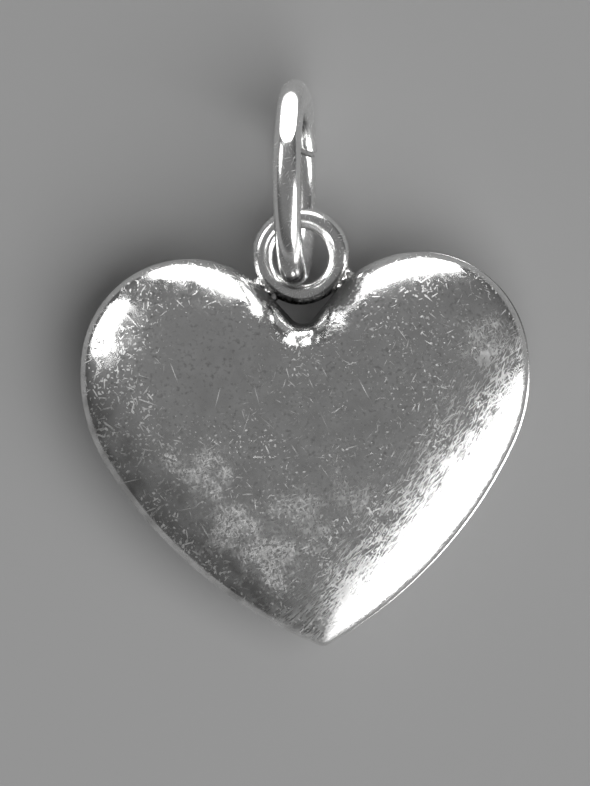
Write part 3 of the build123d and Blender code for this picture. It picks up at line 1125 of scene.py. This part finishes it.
class CHARM_OT_shells(bpy.types.Operator):
    """Build the front and back shells"""

    bl_idname = "charm.shells"
    bl_label = "Shells"

    def execute(self, context):
        outline = HeartOutline(context.scene.charm_heart)
        for name, front in (("front_shell", True), ("back_shell", False)):
            piece = shell_piece(f"polished_{name}", outline, context.scene.charm_wire, front)
            dress(piece, polished_sheet, "heart", name)
        return {"FINISHED"}


class CHARM_OT_seam(bpy.types.Operator):
    """Build the solder seam between the two shells"""

    bl_idname = "charm.seam"
    bl_label = "Seam"

    def execute(self, context):
        piece = seam_piece(HeartOutline(context.scene.charm_heart))
        dress(piece, flowed_solder, "heart", "seam_solder")
        return {"FINISHED"}


class CHARM_OT_eyelet(bpy.types.Operator):
    """Build the wire eyelet in the cleft"""

    bl_idname = "charm.eyelet"
    bl_label = "Eyelet"

    def execute(self, context):
        piece = eyelet_piece(context.scene.charm_wire)
        dress(piece, drawn_wire, "heart", "eyelet_ring")
        return {"FINISHED"}


class CHARM_OT_solder(bpy.types.Operator):
    """Build the solder that fills the crevices between the eyelet and the lobes"""

    bl_idname = "charm.solder"
    bl_label = "Eyelet solder"

    def execute(self, context):
        outline = HeartOutline(context.scene.charm_heart)
        for side in SOLDER_RUNS:
            piece = solder_piece(side, outline, context.scene.charm_wire)
            dress(piece, flowed_solder, "heart", f"eyelet_solder_{side}")
        return {"FINISHED"}


class CHARM_OT_jump_ring(bpy.types.Operator):
    """Build the open jump ring, its two ends a little out of line"""

    bl_idname = "charm.jump_ring"
    bl_label = "Jump ring"

    def execute(self, context):
        piece = ring_piece(context.scene.charm_wire)
        dress(piece, drawn_wire, "jump_ring", "jump_ring")
        return {"FINISHED"}


class CHARM_OT_stage(bpy.types.Operator):
    """Build the pale floor, the light panels, the soft box, the dim ceiling and the camera"""

    bl_idname = "charm.stage"
    bl_label = "Stage"

    def execute(self, context):
        stage = context.scene.charm_stage
        spared = bpy.data.collections.new("spared_floor")
        spared.objects.link(add_floor(stage))
        spared.collection_objects[0].light_linking.link_state = "EXCLUDE"
        for panel in PANELS:
            add_panel(stage, spared, *panel)
        add_soft_box(stage)
        add_ceiling(stage)
        add_camera(stage)
        context.scene.view_settings.view_transform = "Standard"
        return {"FINISHED"}


class CHARM_PT_sidebar(bpy.types.Panel):
    """Lists the charm's pieces and sizes"""

    bl_idname = "CHARM_PT_sidebar"
    bl_label = "Puffed Heart Charm"
    bl_space_type = "VIEW_3D"
    bl_region_type = "UI"
    bl_category = "Charm"

    def draw(self, context):
        for operator in OPERATORS:
            self.layout.operator(operator.bl_idname)
        for key in GROUPS:
            box = self.layout.box()
            group = getattr(context.scene, key)
            for name in group.__annotations__:
                box.prop(group, name)


GROUPS = {
    "charm_heart": CharmHeart,
    "charm_wire": CharmWire,
    "charm_finish": CharmFinish,
    "charm_stage": CharmStage,
}
OPERATORS = (
    CHARM_OT_shells,
    CHARM_OT_seam,
    CHARM_OT_eyelet,
    CHARM_OT_solder,
    CHARM_OT_jump_ring,
    CHARM_OT_stage,
)


def register():
    """Registers the property groups, the operators and the panel."""
    for key, group in GROUPS.items():
        bpy.utils.register_class(group)
        setattr(bpy.types.Scene, key, PointerProperty(type=group))
    for operator in OPERATORS:
        bpy.utils.register_class(operator)
    bpy.utils.register_class(CHARM_PT_sidebar)


def unregister():
    """Removes what register added, in the opposite order."""
    bpy.utils.unregister_class(CHARM_PT_sidebar)
    for operator in reversed(OPERATORS):
        bpy.utils.unregister_class(operator)
    for key, group in reversed(GROUPS.items()):
        delattr(bpy.types.Scene, key)
        bpy.utils.unregister_class(group)


def main():
    """Builds every piece and the stage."""
    register()
    bpy.ops.charm.shells()
    bpy.ops.charm.seam()
    bpy.ops.charm.eyelet()
    bpy.ops.charm.solder()
    bpy.ops.charm.jump_ring()
    bpy.ops.charm.stage()


if __name__ == "__main__":
    main()
